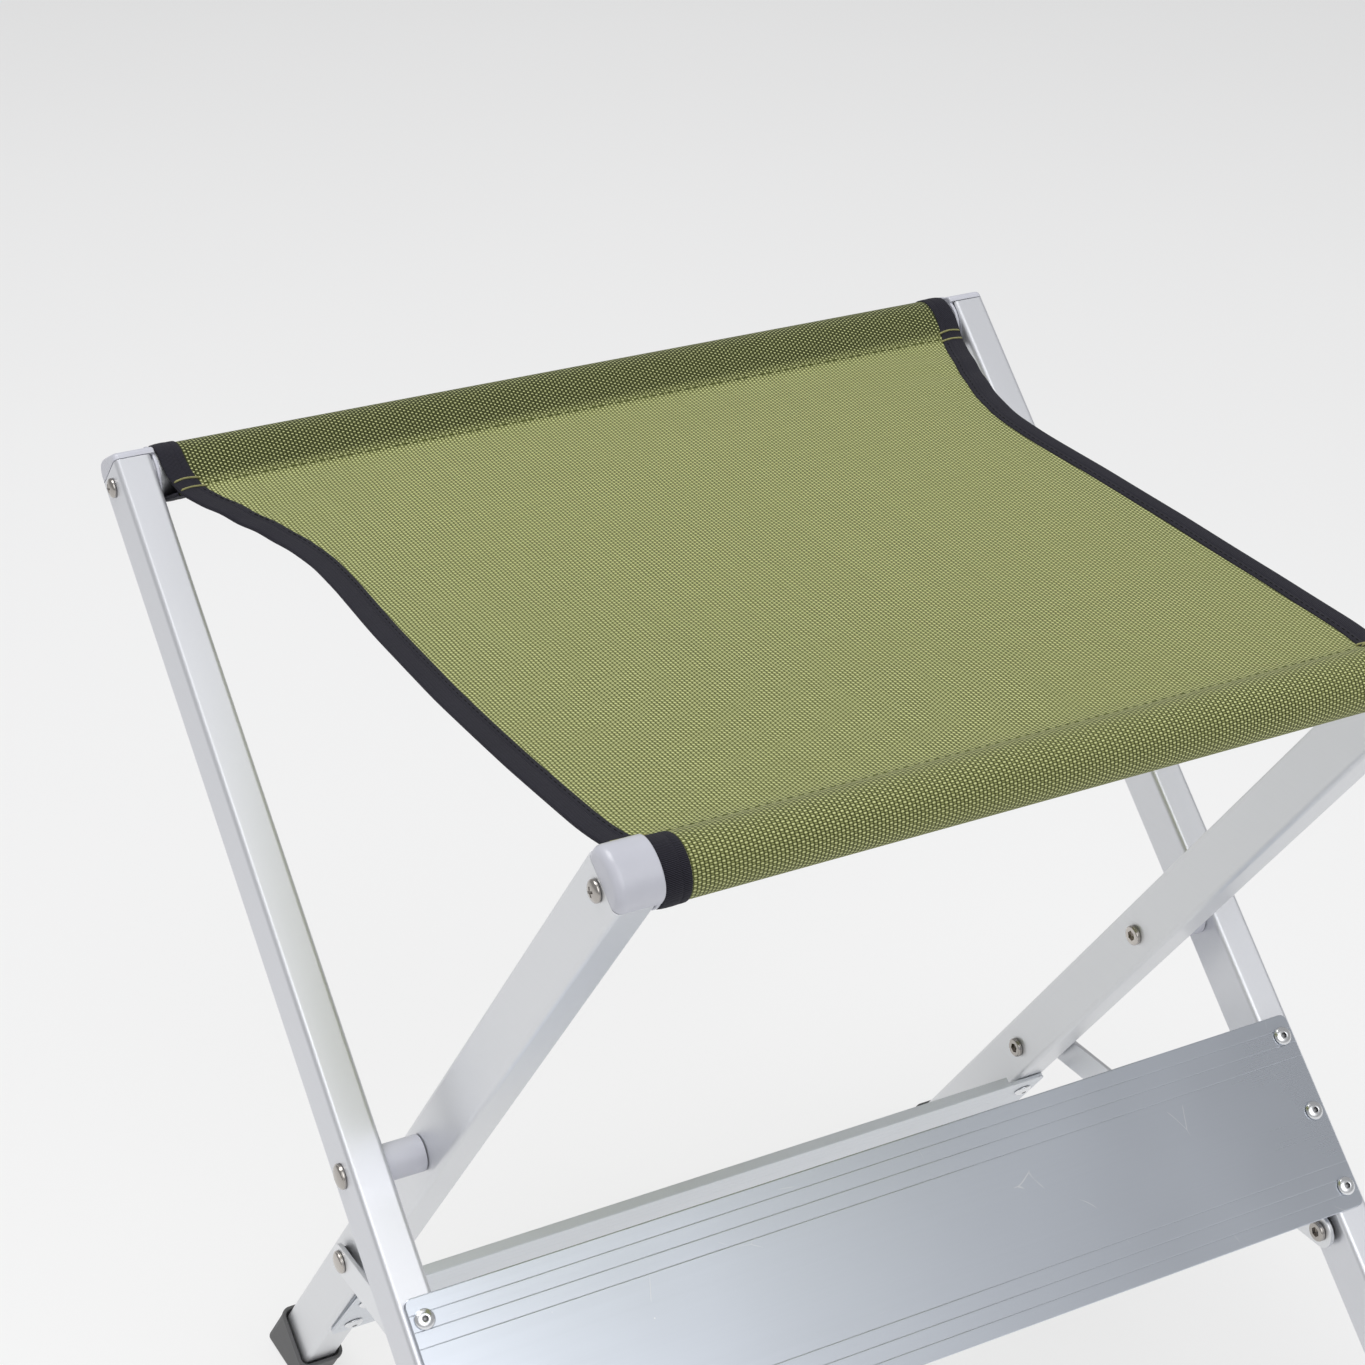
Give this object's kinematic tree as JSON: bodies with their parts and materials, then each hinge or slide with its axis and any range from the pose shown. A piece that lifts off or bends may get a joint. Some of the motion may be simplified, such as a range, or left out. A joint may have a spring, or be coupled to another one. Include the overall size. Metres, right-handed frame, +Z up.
{
  "type": "folding camp stool",
  "caption": "Folding camp stool: crossed aluminium tube legs, woven sling seat between two top rails, riveted cross planks and folding stays.",
  "frame": {"origin": "on the floor, under the middle of the open stool's bounding box", "axes": "+Z up, +X across the stool along the rails, -Y towards the front rail"},
  "size_m": [0.4454, 0.519, 0.454],
  "materials": {
    "frame_aluminium": "satin anodised extruded tube and bar",
    "plank_aluminium": "brushed, lightly scuffed, with fine lengthwise lines",
    "fastener_steel": "nickel plated, polished",
    "end_cap_plastic": "light grey moulded, semi-matt",
    "spacer_plastic": "light grey, fine grain",
    "boot_rubber": "dark grey, matt",
    "rivet_aluminium": "bright domed rivet",
    "seat_fabric": "coarse plain weave, olive green",
    "binding_tape": "black twill tape",
    "washer_nylon": "black nylon"
  },
  "bodies": {
    "outer_frame": {"front_plank": "plank_aluminium", "front_rivet_lower_left": "rivet_aluminium", "front_rivet_lower_right": "rivet_aluminium", "front_rivet_middle_left": "rivet_aluminium", "front_rivet_middle_right": "rivet_aluminium", "front_rivet_upper_left": "rivet_aluminium", "front_rivet_upper_right": "rivet_aluminium", "outer_boot_left": "boot_rubber", "outer_boot_right": "boot_rubber", "outer_cap_left": "end_cap_plastic", "outer_cap_right": "end_cap_plastic", "outer_cap_screw_left": "fastener_steel", "outer_cap_screw_right": "fastener_steel", "outer_leg_left": "frame_aluminium", "outer_leg_right": "frame_aluminium", "pivot_bolt_left": "fastener_steel", "pivot_bolt_right": "fastener_steel", "pivot_nut_left": "fastener_steel", "pivot_nut_right": "fastener_steel", "pivot_spacer_left": "spacer_plastic", "pivot_spacer_right": "spacer_plastic", "rear_rail": "frame_aluminium", "seat_binding_left": "binding_tape", "seat_binding_right": "binding_tape", "seat_cloth": "seat_fabric", "stay_front_bolt_left": "fastener_steel", "stay_front_bolt_right": "fastener_steel", "stay_front_nut_left": "fastener_steel", "stay_front_nut_right": "fastener_steel", "stay_front_washer_left": "washer_nylon", "stay_front_washer_right": "washer_nylon"},
    "inner_frame": {"front_rail": "frame_aluminium", "inner_boot_left": "boot_rubber", "inner_boot_right": "boot_rubber", "inner_cap_left": "end_cap_plastic", "inner_cap_right": "end_cap_plastic", "inner_cap_screw_left": "fastener_steel", "inner_cap_screw_right": "fastener_steel", "inner_leg_left": "frame_aluminium", "inner_leg_right": "frame_aluminium", "rear_plank": "plank_aluminium", "rear_rivet_lower_left": "rivet_aluminium", "rear_rivet_lower_right": "rivet_aluminium", "rear_rivet_upper_left": "rivet_aluminium", "rear_rivet_upper_right": "rivet_aluminium", "stay_rear_bolt_left": "fastener_steel", "stay_rear_bolt_right": "fastener_steel", "stay_rear_nut_left": "fastener_steel", "stay_rear_nut_right": "fastener_steel", "stay_rear_washer_left": "washer_nylon", "stay_rear_washer_right": "washer_nylon"},
    "stay_front_left": {"stay_front_left": "frame_aluminium", "stay_rivet_left": "fastener_steel"},
    "stay_front_right": {"stay_front_right": "frame_aluminium", "stay_rivet_right": "fastener_steel"},
    "stay_rear_left": {"stay_rear_left": "frame_aluminium", "stay_rivet_tail_left": "fastener_steel"},
    "stay_rear_right": {"stay_rear_right": "frame_aluminium", "stay_rivet_tail_right": "fastener_steel"}
  },
  "joints": [
    {"name": "fold", "type": "hinge", "parent": "outer_frame", "child": "inner_frame", "pos_m": [0, 0.01279, 0.229], "axis": [-1, 0, 0], "range_deg": [0, 82], "deforming": ["seat_cloth", "seat_binding_left", "seat_binding_right"]},
    {"name": "stay_front_left_hinge", "type": "hinge", "parent": "outer_frame", "child": "stay_front_left", "pos_m": [-0.2, -0.09818, 0.12838], "axis": [1, 0, 0], "range_deg": [0, 45.5]},
    {"name": "stay_rear_left_hinge", "type": "hinge", "parent": "inner_frame", "child": "stay_rear_left", "pos_m": [-0.1885, 0.09306, 0.11798], "axis": [-1, 0, 0], "range_deg": [0, 51]},
    {"name": "stay_front_right_hinge", "type": "hinge", "parent": "outer_frame", "child": "stay_front_right", "pos_m": [0.2, -0.09818, 0.12838], "axis": [1, 0, 0], "range_deg": [0, 45.5]},
    {"name": "stay_rear_right_hinge", "type": "hinge", "parent": "inner_frame", "child": "stay_rear_right", "pos_m": [0.1885, 0.09306, 0.11798], "axis": [-1, 0, 0], "range_deg": [0, 51]}
  ],
  "couplings": [
    {"joint": "stay_front_left_hinge", "follows": "fold", "ratio": 0.54777},
    {"joint": "stay_rear_left_hinge", "follows": "fold", "ratio": 0.61682},
    {"joint": "stay_front_right_hinge", "follows": "fold", "ratio": 0.54777},
    {"joint": "stay_rear_right_hinge", "follows": "fold", "ratio": 0.61682}
  ]
}
